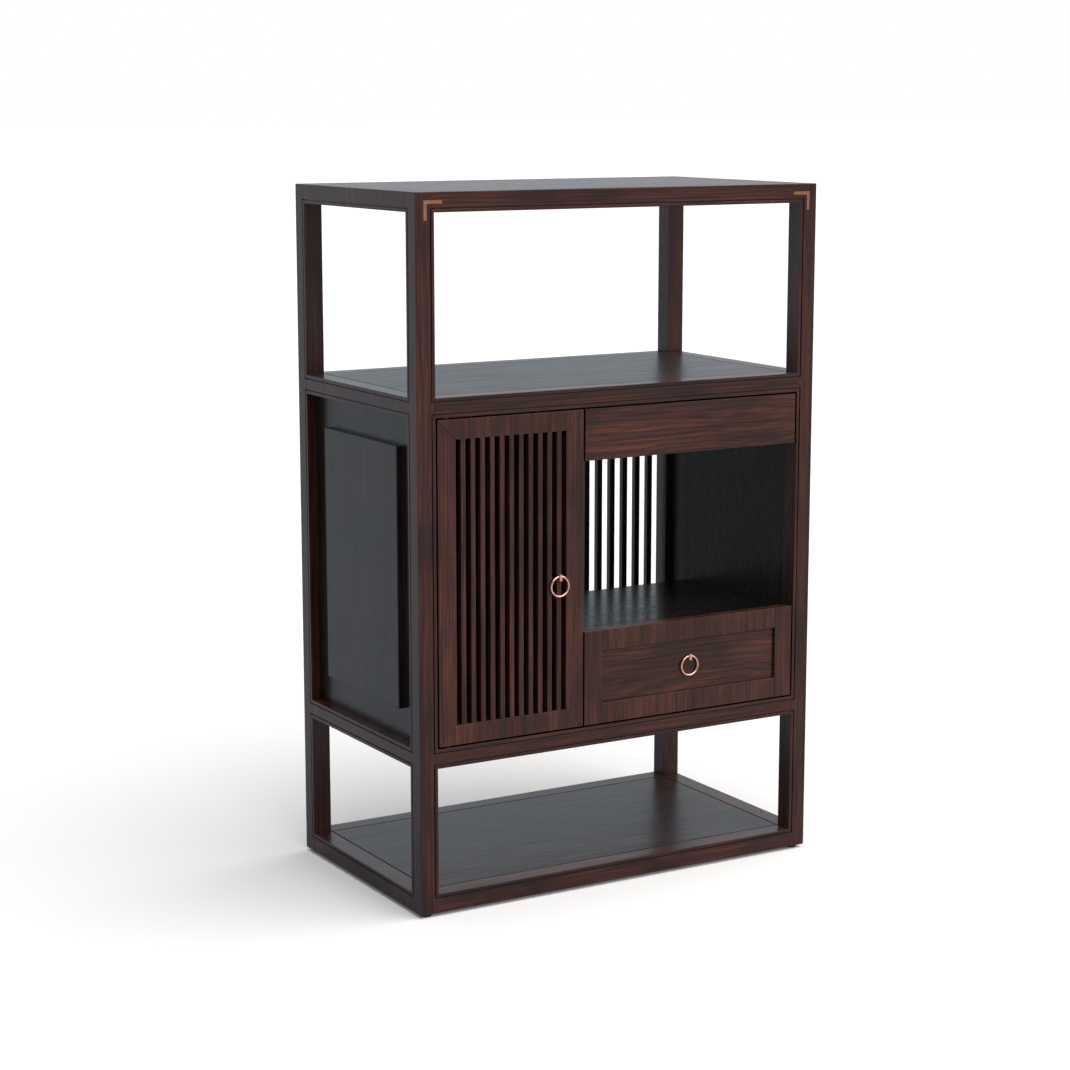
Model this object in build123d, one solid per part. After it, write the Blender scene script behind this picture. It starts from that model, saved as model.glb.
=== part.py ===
from build123d import *
import os

# Open display cabinet, millimetres.  Origin: centre of the footprint, on the floor.
# +Z is up, the front faces -Y, and +X is to the right of someone who looks at the front.

# ---- Driving dimensions: carcass ----
WIDTH = 792.0
DEPTH = 448.0
GLIDE_HEIGHT = 6.0
GLIDE_RADIUS = 10.0
POST = 34.0                 # square section of each post
RAIL_HEIGHT = 33.0
RAIL_WIDTH = 34.0           # of each rail, seen from above
LOWER_BAY = 217.0           # clear heights between the levels
CASE_BAY = 553.0
UPPER_BAY = 298.0
ARRIS = 0.8                 # softened outer edges of the carcass
JOINT_VEE = 0.5             # small chamfer that shows a joint as a line

GROOVE_WIDTH = 2.0          # shadow line that runs round each opening
GROOVE_DEPTH = 3.0
BEAD = 5.5                  # between an opening's edge and its shadow line

PANEL_THICKNESS = 18.0      # flush panel of each level
PANEL_LINE_WIDTH = 2.5      # rebate that shows the panel's edge as a dark line
PANEL_LINE_DEPTH = 2.0

# ---- Driving dimensions: case ----
SIDE_SHOULDER = 6.0         # thickness of a side panel's border
SIDE_RAISE = 12.0           # how far its field stands out from that border
SIDE_RECESS = 7.0           # from the post's outer face back to the field
SIDE_MARGIN = 54.0          # border between the opening's edge and the field
FIELD_EDGE = 1.2            # softened rim of the field

BOARD = 18.0                # divider and niche floor
DIVIDER_RIGHT = -80.0       # right face of the divider, along X
DUST_BOARD = 12.0           # niche ceiling
BACK_THICKNESS = 11.0       # closed back and grille bars
NICHE_FLOOR_TOP = 152.0     # above the lower shelf
NICHE_CEILING_TOP = 486.0   # above the lower shelf
NICHE_BACK_GAP = 76.0       # between the niche boards and the grille
BAR_COUNT = 15
BAR_WIDTH = 11.0

# ---- Driving dimensions: door and drawers ----
REVEAL = 3.0                # gap round the door and the drawer fronts
FRONT_THICKNESS = 20.0
FRONT_CLEARANCE = 0.5       # behind a closed front
DOOR_MEMBER = 34.0
SLAT_COUNT = 11
SLAT_WIDTH = 9.2
SLAT_THICKNESS = 11.0
SLAT_SETBACK = 0.5

LOWER_FRONT_HEIGHT = 164.0
UPPER_FRONT_HEIGHT = 88.0
DRAWER_STILE = 36.0
DRAWER_RAIL = 36.0
SUNK_DEPTH = 5.0
SUNK_THICKNESS = 10.0

BOX_WALL = 12.0
BOX_DEPTH = 324.0           # of a drawer box, behind its front
BOX_BOTTOM = 6.0
BOX_BOTTOM_RISE = 6.0       # underside of the bottom above the sides' lower edge
LOWER_BOX_FLOOR = 8.0       # sides' lower edge above the lower shelf
LOWER_BOX_HEADROOM = 3.0    # sides' upper edge below the niche floor
UPPER_BOX_FLOOR = 3.0       # sides' lower edge above the niche ceiling
UPPER_BOX_HEADROOM = 8.0    # sides' upper edge below the upper shelf's rail
RUN_CLEARANCE = 0.3         # between a drawer side and its runner
GUIDE_CLEARANCE = 0.5       # between a drawer side and its guide
GUIDE_HEIGHT = 24.0

# ---- Driving dimensions: hardware ----
RING_RADIUS = 17.0          # to the centre of the wire
WIRE_RADIUS = 1.8
RING_STANDOFF = 3.2         # centre of the wire in front of its face
PULL_WIDTH = 5.0
PULL_ABOVE = 3.6            # block above and below the ring's pivot
PULL_BELOW = 7.0
PULL_NOSE = 3.4             # block in front of the ring's pivot
PULL_CLEARANCE = 0.3        # between the wire and its hole
DOOR_PULL_DROP = 7.0        # pivot below the middle of the door
DRAWER_PULL_RISE = 15.0     # pivot above the middle of the sunk panel

PIVOT_INSET = 20.0          # from the door's left edge to its pivot
PIN_RADIUS = 3.0
PIN_CLEARANCE = 0.05
PIN_REACH = 8.0             # into the socket
COLLAR_RADIUS = 5.0
COLLAR_CLEARANCE = 0.3
PLATE_SIZE = 12.0
PLATE_THICKNESS = 3.0
SOCKET_DEPTH = 12.0
SOCKET_BORE_DEPTH = 10.0

CATCH_WIDTH = 20.0
CATCH_HEIGHT = 12.0
CATCH_FROM_DIVIDER = 4.0
CATCH_GAP = 0.6             # between the magnet and the closed door
STRIKE_THICKNESS = 1.2

INLAY_ARM = 34.0            # along the top rail
INLAY_DROP = 32.0           # down the post
INLAY_WIDTH = 5.5
INLAY_THICKNESS = 1.2
INLAY_FROM_SIDE = 15.0
INLAY_FROM_TOP = 13.4

# ---- Places that follow from them ----
HALF_WIDTH = WIDTH / 2
HALF_DEPTH = DEPTH / 2
POST_X = HALF_WIDTH - POST              # inner face of the posts
POST_Y = HALF_DEPTH - POST
FRAME_X = HALF_WIDTH - RAIL_WIDTH       # inner face of the side rails
FRAME_Y = HALF_DEPTH - RAIL_WIDTH

BASE_Z = GLIDE_HEIGHT
SHELF_Z = BASE_Z + RAIL_HEIGHT + LOWER_BAY
CASE_TOP_Z = SHELF_Z + RAIL_HEIGHT + CASE_BAY
TOP_Z = CASE_TOP_Z + RAIL_HEIGHT + UPPER_BAY
HEIGHT_Z = TOP_Z + RAIL_HEIGHT
LEVELS = {"base": BASE_Z, "lower_shelf": SHELF_Z, "upper_shelf": CASE_TOP_Z, "top": TOP_Z}
BAYS = (
    (BASE_Z + RAIL_HEIGHT, SHELF_Z),
    (SHELF_Z + RAIL_HEIGHT, CASE_TOP_Z),
    (CASE_TOP_Z + RAIL_HEIGHT, TOP_Z),
)
CASE_Z0 = SHELF_Z + RAIL_HEIGHT
CASE_Z1 = CASE_TOP_Z

FRONT_Y = -HALF_DEPTH
FRONT_BACK_Y = FRONT_Y + FRONT_THICKNESS        # back of the door and drawer fronts
INNER_FRONT_Y = FRONT_BACK_Y + FRONT_CLEARANCE  # front edge of what lies behind them
BACK_Y = HALF_DEPTH - BACK_THICKNESS
NICHE_BACK_Y = BACK_Y - NICHE_BACK_GAP
SIDE_INNER_X = HALF_WIDTH - SIDE_RECESS - SIDE_RAISE - SIDE_SHOULDER
DIVIDER_LEFT = DIVIDER_RIGHT - BOARD

DOOR_X0 = -POST_X + REVEAL
DOOR_X1 = DIVIDER_RIGHT
FRONT_Z0 = CASE_Z0 + REVEAL
FRONT_Z1 = CASE_Z1 - REVEAL
DRAWER_X0 = DIVIDER_RIGHT + REVEAL
DRAWER_X1 = POST_X - REVEAL
NICHE_FLOOR_Z = CASE_Z0 + NICHE_FLOOR_TOP
NICHE_CEILING_Z = CASE_Z0 + NICHE_CEILING_TOP
BOX_END_Y = FRONT_BACK_Y + BOX_DEPTH

PIVOT_X = DOOR_X0 + PIVOT_INSET
PIVOT_Y = FRONT_Y + FRONT_THICKNESS / 2


def block(x, y, z):
    """Box between the two ends given along each axis."""
    size = (x[1] - x[0], y[1] - y[0], z[1] - z[0])
    return Pos(x[0], y[0], z[0]) * Box(*size, align=(Align.MIN, Align.MIN, Align.MIN))


def upright(x, y, z, radius):
    """Cylinder along Z at (x, y), between the two heights z."""
    base = (Align.CENTER, Align.CENTER, Align.MIN)
    return Pos(x, y, z[0]) * Cylinder(radius, z[1] - z[0], align=base)


def prism(outline, y):
    """Outline of (x, z) points in the front view, extended between the two depths y."""
    points = [(px, y[0], pz) for px, pz in outline]
    face = make_face(Polyline(*points, close=True).edges())
    return extrude(face, amount=y[1] - y[0], dir=(0, 1, 0))


def eased(piece, axis, last, size=JOINT_VEE):
    """Chamfer the rim of a piece's first or last face along an axis."""
    face = piece.faces().sort_by(axis)[-1 if last else 0]
    return chamfer(face.edges(), size)


def save(node, *solids):
    """Write one node, as a single solid or as a group of them."""
    shape = solids[0] if len(solids) == 1 else Compound(children=list(solids))
    export_step(shape, f"parts/{node}.step")


# ---- Carcass ----
def shadow_lines():
    """The grooves that frame each opening on all four faces of the carcass."""
    rings = []
    for z0, z1 in BAYS:
        for side in (-1, 1):
            rings.append(groove_ring(POST_X, (z0, z1), side, across_x=True))
            rings.append(groove_ring(POST_Y, (z0, z1), side, across_x=False))
    return rings


def groove_ring(half_opening, z, side, across_x):
    """One groove round an opening, on a face square to Y (across_x) or to X."""
    outer_face = HALF_DEPTH if across_x else HALF_WIDTH
    depth = sorted((side * outer_face, side * (outer_face - GROOVE_DEPTH)))
    loops = []
    for reach in (BEAD + GROOVE_WIDTH, BEAD):
        span = (-half_opening - reach, half_opening + reach)
        height = (z[0] - reach, z[1] + reach)
        loops.append(block(span, depth, height) if across_x else block(depth, span, height))
    return loops[0] - loops[1]


GROOVES = shadow_lines()
ENVELOPE = chamfer(
    block((-HALF_WIDTH, HALF_WIDTH), (-HALF_DEPTH, HALF_DEPTH), (BASE_Z, HEIGHT_Z)).edges(), ARRIS
)


def carcass_member(piece):
    """Ease a member's outer edges and cut the shadow lines that cross it."""
    piece = piece & ENVELOPE
    for groove in GROOVES:
        if piece.bounding_box().overlaps(groove.bounding_box()):
            piece = piece - groove
    return piece


def make_posts():
    """Four posts, from the glides to the top."""
    for depth_name, sy in (("front", -1), ("back", 1)):
        for side_name, sx in (("left", -1), ("right", 1)):
            x = sorted((sx * POST_X, sx * HALF_WIDTH))
            y = sorted((sy * POST_Y, sy * HALF_DEPTH))
            post = carcass_member(block(x, y, (BASE_Z, HEIGHT_Z)))
            if depth_name == "front":
                post = post - inlay(sx)
            save(f"post_{depth_name}_{side_name}", post)


def make_levels():
    """Four rails and a flush panel at each level."""
    for level, z0 in LEVELS.items():
        z = (z0, z0 + RAIL_HEIGHT)
        for depth_name, sy in (("front", -1), ("back", 1)):
            y = sorted((sy * FRAME_Y, sy * HALF_DEPTH))
            rail = carcass_member(block((-POST_X, POST_X), y, z))
            if depth_name == "front":
                rail = fitted_front_rail(rail, level)
            save(f"{level}_rail_{depth_name}", rail)
        for side_name, sx in (("left", -1), ("right", 1)):
            x = sorted((sx * FRAME_X, sx * HALF_WIDTH))
            save(f"{level}_rail_{side_name}", carcass_member(block(x, (-POST_Y, POST_Y), z)))
        save(f"{level}_panel", flush_panel(z[1]))


def flush_panel(top):
    """Panel level with the tops of its rails, with a rebate along its upper rim."""
    seat = top - PANEL_LINE_DEPTH
    x = FRAME_X - PANEL_LINE_WIDTH
    y = FRAME_Y - PANEL_LINE_WIDTH
    body = block((-FRAME_X, FRAME_X), (-FRAME_Y, FRAME_Y), (top - PANEL_THICKNESS, seat))
    return body + block((-x, x), (-y, y), (seat, top))


def fitted_front_rail(rail, level):
    """Cut the seats of the inlays and pivot sockets out of a front rail."""
    if level == "top":
        return rail - inlay(-1) - inlay(1)
    if level in ("lower_shelf", "upper_shelf"):
        return rail - socket_block(level == "upper_shelf")
    return rail


def make_glides():
    """Round pads under the posts."""
    centre_x = HALF_WIDTH - POST / 2
    centre_y = HALF_DEPTH - POST / 2
    pads = []
    for sx in (-1, 1):
        for sy in (-1, 1):
            pads.append(upright(sx * centre_x, sy * centre_y, (0, BASE_Z), GLIDE_RADIUS))
    save("floor_glides", *pads)


def inlay(side):
    """Flush metal angle near an upper front corner; side is -1 for left and 1 for right."""
    outer_x = HALF_WIDTH - INLAY_FROM_SIDE
    top = HEIGHT_Z - INLAY_FROM_TOP
    y = (FRONT_Y, FRONT_Y + INLAY_THICKNESS)
    arm_x = sorted((side * outer_x, side * (outer_x - INLAY_ARM)))
    drop_x = sorted((side * outer_x, side * (outer_x - INLAY_WIDTH)))
    arm = block(arm_x, y, (top - INLAY_WIDTH, top))
    drop = block(drop_x, y, (top - INLAY_DROP, top))
    return arm + drop


# ---- Case ----
def make_side_panels():
    """Panels with a raised field that close the case left and right."""
    inner = SIDE_INNER_X
    border = inner + SIDE_SHOULDER
    field = border + SIDE_RAISE
    field_y = POST_Y - SIDE_MARGIN
    for side_name, sx in (("left", -1), ("right", 1)):
        base = block(sorted((sx * inner, sx * border)), (-POST_Y, POST_Y), (CASE_Z0, CASE_Z1))
        raised = block(
            sorted((sx * border, sx * field)),
            (-field_y, field_y),
            (CASE_Z0 + SIDE_MARGIN, CASE_Z1 - SIDE_MARGIN),
        )
        raised = eased(raised, Axis.X, last=sx > 0, size=FIELD_EDGE)
        save(f"side_panel_{side_name}", base + raised)


def front_post_notch():
    """Room that a full-width inner board leaves for the right front post."""
    return block((POST_X, HALF_WIDTH), (FRONT_Y, -POST_Y), (CASE_Z0, CASE_Z1))


def inner_board(z):
    """Board between the divider and the right side panel, short of the grille."""
    board = block((DIVIDER_RIGHT, SIDE_INNER_X), (INNER_FRONT_Y, NICHE_BACK_Y), z)
    return board - front_post_notch()


def make_inner_case():
    """Divider, closed back, niche boards and the grille."""
    divider = block((DIVIDER_LEFT, DIVIDER_RIGHT), (INNER_FRONT_Y, HALF_DEPTH), (CASE_Z0, CASE_Z1))
    save("divider", divider)
    back = block((-POST_X, DIVIDER_LEFT), (BACK_Y, HALF_DEPTH), (CASE_Z0, CASE_Z1))
    save("compartment_back", back)
    save("niche_floor", inner_board((NICHE_FLOOR_Z - BOARD, NICHE_FLOOR_Z)))
    save("niche_ceiling", inner_board((NICHE_CEILING_Z - DUST_BOARD, NICHE_CEILING_Z)))
    save("grille_bars", *grille())


def grille():
    """Evenly spaced square bars between the divider and the right back post."""
    gap = (POST_X - DIVIDER_RIGHT - BAR_COUNT * BAR_WIDTH) / (BAR_COUNT + 1)
    bars = []
    for index in range(BAR_COUNT):
        x0 = DIVIDER_RIGHT + gap + index * (BAR_WIDTH + gap)
        bars.append(block((x0, x0 + BAR_WIDTH), (BACK_Y, HALF_DEPTH), (CASE_Z0, CASE_Z1)))
    return bars


# ---- Drawers ----
def make_runners(name, seat_z, box_z0):
    """Strips under the drawer's sides, and the guides beside them."""
    run_z = (seat_z, box_z0 - RUN_CLEARANCE)
    run_y = (INNER_FRONT_Y, BOX_END_Y)
    guide_y = (-POST_Y, BOX_END_Y)
    guide_z = (seat_z, seat_z + GUIDE_HEIGHT)
    strips = [
        block((DRAWER_X0, DRAWER_X0 + BOX_WALL), run_y, run_z),
        block((DRAWER_X1 - BOX_WALL, DRAWER_X1), run_y, run_z),
        block((DIVIDER_RIGHT, DRAWER_X0 - GUIDE_CLEARANCE), guide_y, guide_z),
        block((DRAWER_X1 + GUIDE_CLEARANCE, SIDE_INNER_X), guide_y, guide_z),
    ]
    save(f"{name}_runners", *strips)


def make_drawer_box(name, z):
    """Sides, back and bottom of a drawer, behind its front."""
    inner_x = (DRAWER_X0 + BOX_WALL, DRAWER_X1 - BOX_WALL)
    y = (FRONT_BACK_Y, BOX_END_Y)
    save(
        f"{name}_sides",
        block((DRAWER_X0, inner_x[0]), y, z),
        block((inner_x[1], DRAWER_X1), y, z),
    )
    bottom_z = (z[0] + BOX_BOTTOM_RISE, z[0] + BOX_BOTTOM_RISE + BOX_BOTTOM)
    save(f"{name}_back", block(inner_x, (BOX_END_Y - BOX_WALL, BOX_END_Y), (bottom_z[1], z[1])))
    save(f"{name}_bottom", block(inner_x, y, bottom_z))


def make_lower_drawer():
    """Drawer with a framed, sunk front panel."""
    z = (FRONT_Z0, FRONT_Z0 + LOWER_FRONT_HEIGHT)
    y = (FRONT_Y, FRONT_BACK_Y)
    panel_x = (DRAWER_X0 + DRAWER_STILE, DRAWER_X1 - DRAWER_STILE)
    panel_z = (z[0] + DRAWER_RAIL, z[1] - DRAWER_RAIL)
    save(
        "lower_drawer_stiles",
        eased(block((DRAWER_X0, panel_x[0]), y, z), Axis.Y, last=False),
        eased(block((panel_x[1], DRAWER_X1), y, z), Axis.Y, last=False),
    )
    save(
        "lower_drawer_rails",
        eased(block(panel_x, y, (z[0], panel_z[0])), Axis.Y, last=False),
        eased(block(panel_x, y, (panel_z[1], z[1])), Axis.Y, last=False),
    )
    sunk_y = FRONT_Y + SUNK_DEPTH
    save("lower_drawer_panel", block(panel_x, (sunk_y, sunk_y + SUNK_THICKNESS), panel_z))
    box_z0 = CASE_Z0 + LOWER_BOX_FLOOR
    make_drawer_box("lower_drawer", (box_z0, NICHE_FLOOR_Z - BOARD - LOWER_BOX_HEADROOM))
    make_runners("lower_drawer", CASE_Z0, box_z0)
    pivot_z = sum(panel_z) / 2 + DRAWER_PULL_RISE
    make_pull("lower_drawer", sum(panel_x) / 2, sunk_y, pivot_z)


def make_upper_drawer():
    """Drawer with a plain board front, pulled by its lower edge."""
    z = (FRONT_Z1 - UPPER_FRONT_HEIGHT, FRONT_Z1)
    front = block((DRAWER_X0, DRAWER_X1), (FRONT_Y, FRONT_BACK_Y), z)
    save("upper_drawer_front", eased(front, Axis.Y, last=False))
    box_z0 = NICHE_CEILING_Z + UPPER_BOX_FLOOR
    make_drawer_box("upper_drawer", (box_z0, CASE_Z1 - UPPER_BOX_HEADROOM))
    make_runners("upper_drawer", NICHE_CEILING_Z, box_z0)


# ---- Door ----
def make_door():
    """Mitred frame with upright slats."""
    y = (FRONT_Y, FRONT_BACK_Y)
    field_x = (DOOR_X0 + DOOR_MEMBER, DOOR_X1 - DOOR_MEMBER)
    field_z = (FRONT_Z0 + DOOR_MEMBER, FRONT_Z1 - DOOR_MEMBER)
    outer = ((DOOR_X0, FRONT_Z0), (DOOR_X1, FRONT_Z0), (DOOR_X1, FRONT_Z1), (DOOR_X0, FRONT_Z1))
    inner = (
        (field_x[0], field_z[0]),
        (field_x[1], field_z[0]),
        (field_x[1], field_z[1]),
        (field_x[0], field_z[1]),
    )
    for index, name in enumerate(("rail_bottom", "stile_right", "rail_top", "stile_left")):
        after = (index + 1) % len(outer)
        outline = (outer[index], outer[after], inner[after], inner[index])
        member = eased(prism(outline, y), Axis.Y, last=False)
        if name == "rail_bottom":
            member = member - pivot_plate(upper=False)
        if name == "rail_top":
            member = member - pivot_plate(upper=True) - strike()
        save(f"door_{name}", member)
    gap = (field_x[1] - field_x[0] - SLAT_COUNT * SLAT_WIDTH) / (SLAT_COUNT + 1)
    slat_y = (FRONT_Y + SLAT_SETBACK, FRONT_Y + SLAT_SETBACK + SLAT_THICKNESS)
    slats = []
    for index in range(SLAT_COUNT):
        x0 = field_x[0] + gap + index * (SLAT_WIDTH + gap)
        slats.append(eased(block((x0, x0 + SLAT_WIDTH), slat_y, field_z), Axis.Y, last=False))
    save("door_slats", *slats)
    last_slat_x = field_x[1] - gap - SLAT_WIDTH / 2
    make_pull("door", last_slat_x, slat_y[0], (FRONT_Z0 + FRONT_Z1) / 2 - DOOR_PULL_DROP)


def plate_square():
    """Extent along X and Y of the plates and sockets round the door's pivot."""
    half = PLATE_SIZE / 2
    return (PIVOT_X - half, PIVOT_X + half), (PIVOT_Y - half, PIVOT_Y + half)


def pivot_plate(upper):
    """Plate let into the door's edge, which carries a pin."""
    x, y = plate_square()
    edge = FRONT_Z1 if upper else FRONT_Z0
    inward = -PLATE_THICKNESS if upper else PLATE_THICKNESS
    return block(x, y, sorted((edge, edge + inward)))


def socket_block(upper):
    """Full block of a pivot socket, let into the rail above or below the door."""
    x, y = plate_square()
    face = CASE_Z1 if upper else CASE_Z0
    inward = SOCKET_DEPTH if upper else -SOCKET_DEPTH
    return block(x, y, sorted((face, face + inward)))


def make_pivots():
    """Pins on the door and the bored sockets that they turn in."""
    pins = []
    sockets = []
    for upper in (False, True):
        out = 1 if upper else -1
        edge = FRONT_Z1 if upper else FRONT_Z0
        face = CASE_Z1 if upper else CASE_Z0
        pin_z = sorted((edge, face + out * PIN_REACH))
        collar_z = sorted((edge, face - out * COLLAR_CLEARANCE))
        bore_z = sorted((face, face + out * SOCKET_BORE_DEPTH))
        pin = upright(PIVOT_X, PIVOT_Y, pin_z, PIN_RADIUS)
        collar = upright(PIVOT_X, PIVOT_Y, collar_z, COLLAR_RADIUS)
        pins.append(pivot_plate(upper) + collar + pin)
        bore = upright(PIVOT_X, PIVOT_Y, bore_z, PIN_RADIUS + PIN_CLEARANCE)
        sockets.append(socket_block(upper) - bore)
    save("door_pivot_pins", *pins)
    save("pivot_sockets", *sockets)


def catch_span():
    """Extent along X of the catch and its strike plate."""
    x1 = DIVIDER_LEFT - CATCH_FROM_DIVIDER
    return (x1 - CATCH_WIDTH, x1)


def strike():
    """Steel plate let into the back of the door, opposite the magnet."""
    y = (FRONT_BACK_Y - STRIKE_THICKNESS, FRONT_BACK_Y)
    top = FRONT_Z1 - REVEAL
    return block(catch_span(), y, (top - CATCH_HEIGHT, top))


def make_catch():
    """Magnet under the upper rail, behind the door's free corner."""
    y = (FRONT_BACK_Y + CATCH_GAP, -FRAME_Y)
    save("catch_magnet", block(catch_span(), y, (CASE_Z1 - CATCH_HEIGHT - REVEAL, CASE_Z1)))
    save("door_strike", strike())


# ---- Ring pulls ----
def make_pull(name, x, face_y, pivot_z):
    """Ring that hangs in the bored block of its post."""
    wire_y = face_y - RING_STANDOFF
    half = PULL_WIDTH / 2
    post = block(
        (x - half, x + half),
        (wire_y - PULL_NOSE, face_y),
        (pivot_z - PULL_BELOW, pivot_z + PULL_ABOVE),
    )
    hole = Pos(x, wire_y, pivot_z) * Rot(0, 90, 0) * Cylinder(WIRE_RADIUS + PULL_CLEARANCE, PULL_WIDTH)
    save(f"{name}_pull_post", post - hole)
    ring = Pos(x, wire_y, pivot_z - RING_RADIUS) * Rot(90, 0, 0) * Torus(RING_RADIUS, WIRE_RADIUS)
    save(f"{name}_ring", ring)


def main():
    """Build every node of the cabinet."""
    os.makedirs("parts", exist_ok=True)
    make_posts()
    make_levels()
    make_glides()
    save("corner_inlays", inlay(-1), inlay(1))
    make_side_panels()
    make_inner_case()
    make_lower_drawer()
    make_upper_drawer()
    make_door()
    make_pivots()
    make_catch()


main()
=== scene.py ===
"""Looks of the open display cabinet: finishes, floor, studio light and camera.

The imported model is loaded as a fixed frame, in metres, with the front facing -Y.
Every wooden part gets procedural wood whose grain runs the way it does on the real
board, and every metal or moulded part its own finish.
"""

from __future__ import annotations

import logging
import math
from collections.abc import Iterable
from dataclasses import dataclass
from enum import Enum
from typing import Any, ClassVar

import bpy
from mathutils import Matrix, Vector


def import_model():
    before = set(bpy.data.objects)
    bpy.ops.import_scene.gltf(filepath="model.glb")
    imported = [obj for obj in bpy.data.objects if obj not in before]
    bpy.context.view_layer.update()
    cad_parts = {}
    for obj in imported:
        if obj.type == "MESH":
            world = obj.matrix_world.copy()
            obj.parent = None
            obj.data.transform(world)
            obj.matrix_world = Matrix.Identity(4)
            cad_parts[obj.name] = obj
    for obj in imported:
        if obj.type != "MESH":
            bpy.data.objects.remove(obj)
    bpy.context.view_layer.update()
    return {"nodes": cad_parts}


LOG = logging.getLogger("cabinet")
PHOTO_PIXELS = 1070         # width of the photograph
WELD_GAP = 0.000005         # faces whose corners are this near are one surface, in metres
SHARP_ANGLE = math.radians(35)      # edges that turn more than this are softened
SOFT_STEPS = 2              # flat strips that make up a softened edge
WOOD_EDGE = 0.0004          # rounding of wooden and moulded edges, in metres
METAL_EDGE = 0.0002         # rounding of small metal edges, in metres
WHITE = (1.0, 1.0, 1.0)

Colour = tuple[float, float, float]     # red, green and blue, linear
Triple = tuple[float, float, float]     # one value for each of X, Y and Z
Span = tuple[float, float]              # where a change starts and where it is complete


class Grain(Enum):
    """Direction in which a board's grain runs; the value is its axis."""

    ALONG_X = 0
    ALONG_Y = 1
    ALONG_Z = 2


@dataclass(frozen=True)
class Cut:
    """How a board lay in its log.

    Attributes:
        heart: Distance from the board to the log's heart, in metres.
        sway: How far the growth rings wander, in metres.
        ring_gap: Width of one year's growth, in metres.
    """

    heart: float
    sway: float
    ring_gap: float


class Figure(Enum):
    """The two cuts of board in this cabinet."""

    STRAIGHT = Cut(heart=0.42, sway=0.010, ring_gap=0.0036)
    CATHEDRAL = Cut(heart=0.075, sway=0.046, ring_gap=0.0050)


@dataclass(frozen=True)
class Layer:
    """One layer of unevenness in a surface.

    Attributes:
        scale: Features per metre across the grain.
        stretch: Factor on the coordinate along the grain; a small one makes long streaks.
        detail: Octaves.
        rough: Strength of the finer octaves.
    """

    scale: float
    stretch: float
    detail: float
    rough: float


STREAKS = Layer(scale=620.0, stretch=0.012, detail=2.0, rough=0.6)
BANDS = Layer(scale=110.0, stretch=0.035, detail=2.0, rough=0.5)
CLOUDS = Layer(scale=16.0, stretch=0.35, detail=3.0, rough=0.55)
PORES = Layer(scale=1500.0, stretch=0.045, detail=1.0, rough=0.5)
SWAY = Layer(scale=9.0, stretch=0.30, detail=2.0, rough=0.45)
RIPPLE = Layer(scale=60.0, stretch=0.12, detail=2.0, rough=0.5)
HANDLING = Layer(scale=220.0, stretch=1.0, detail=3.0, rough=0.6)
MOULD_CLOUDS = Layer(scale=90.0, stretch=1.0, detail=2.0, rough=0.5)
MOULD_TEXTURE = Layer(scale=2600.0, stretch=1.0, detail=2.0, rough=0.6)
WARM_CLOUDS: Span = (0.44, 0.62)
DARK_CLOUDS: Span = (0.48, 0.35)
DARK_BANDS: Span = (0.50, 0.68)
DARK_STREAKS: Span = (0.46, 0.58)
DULL_STREAKS: Span = (0.40, 0.60)
OPEN_PORES: Span = (0.60, 0.70)
LATE_WOOD: Span = (0.35, 0.92)
RING_END: Span = (0.94, 1.0)
# painted shade: ambient occlusion values over which grooves, joints and inner corners darken
PAINTED_CORNER_SHADE: Span = (0.75, 0.30)
WORN_SPOTS: Span = (0.35, 0.70)
DULL_SCRATCHES: Span = (0.3, 0.7)
PALE_CLOUDS: Span = (0.4, 0.7)
DULL_CLOUDS: Span = (0.3, 0.7)
BOARD_TINTS: tuple[Colour, Colour] = ((0.88, 0.91, 0.96), (1.12, 1.07, 1.04))


@dataclass(frozen=True)
class WoodFinish:
    """A species and its polish.

    Attributes:
        RELIEF_STRENGTH: Share of the pores' depth that shows, 0 to 1.
        dark: Colour of the late wood lines and dark streaks, and of the painted shade in corners,
            linear RGB.
        body: Main colour, linear RGB.
        warm: Colour of the lightest patches, linear RGB.
        roughness: Roughness of the polished surface.
        line_strength: How much the growth lines darken the wood, 0 to 1.
        patch_strength: How much the cloudy dark patches show, 0 to 1.
        relief: Depth of the open pores, in metres.
    """

    RELIEF_STRENGTH: ClassVar[float] = 0.35

    dark: Colour
    body: Colour
    warm: Colour
    roughness: float
    line_strength: float
    patch_strength: float
    relief: float

    def gloss(self) -> Span:
        """Roughness between the streaks and on them."""
        return (self.roughness - 0.03, self.roughness + 0.05)


@dataclass(frozen=True)
class MetalFinish:
    """A metal part's finish.

    Attributes:
        SCRATCH_DEPTH: Depth of the scratches, in metres.
        RELIEF_STRENGTH: Share of that depth that shows, 0 to 1.
        base: Reflected colour, linear RGB.
        worn: Colour of handled spots, linear RGB.
        roughness: Middle roughness.
        scratch_scale: Number of fine scratches per metre across the surface.
    """

    SCRATCH_DEPTH: ClassVar[float] = 0.00003
    RELIEF_STRENGTH: ClassVar[float] = 0.25

    base: Colour
    worn: Colour
    roughness: float
    scratch_scale: float

    def scratches(self) -> Layer:
        """Long fine scratches of this finish."""
        return Layer(scale=self.scratch_scale, stretch=0.08, detail=2.0, rough=0.6)

    def gloss(self) -> Span:
        """Roughness between the scratches and on them."""
        return (self.roughness - 0.06, self.roughness + 0.10)


@dataclass(frozen=True)
class MouldedFinish:
    """A moulded plastic's finish.

    Attributes:
        LIGHTEST: Brightness of the palest clouds against the base.
        TEXTURE_DEPTH: Depth of the fine texture, in metres.
        RELIEF_STRENGTH: Share of that depth that shows, 0 to 1.
        base: Colour, linear RGB.
        roughness: Middle roughness.
    """

    LIGHTEST: ClassVar[float] = 1.5
    TEXTURE_DEPTH: ClassVar[float] = 0.00005
    RELIEF_STRENGTH: ClassVar[float] = 0.4

    base: Colour
    roughness: float

    def gloss(self) -> Span:
        """Roughness between the clouds and on them."""
        return (self.roughness - 0.05, self.roughness + 0.08)


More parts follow.
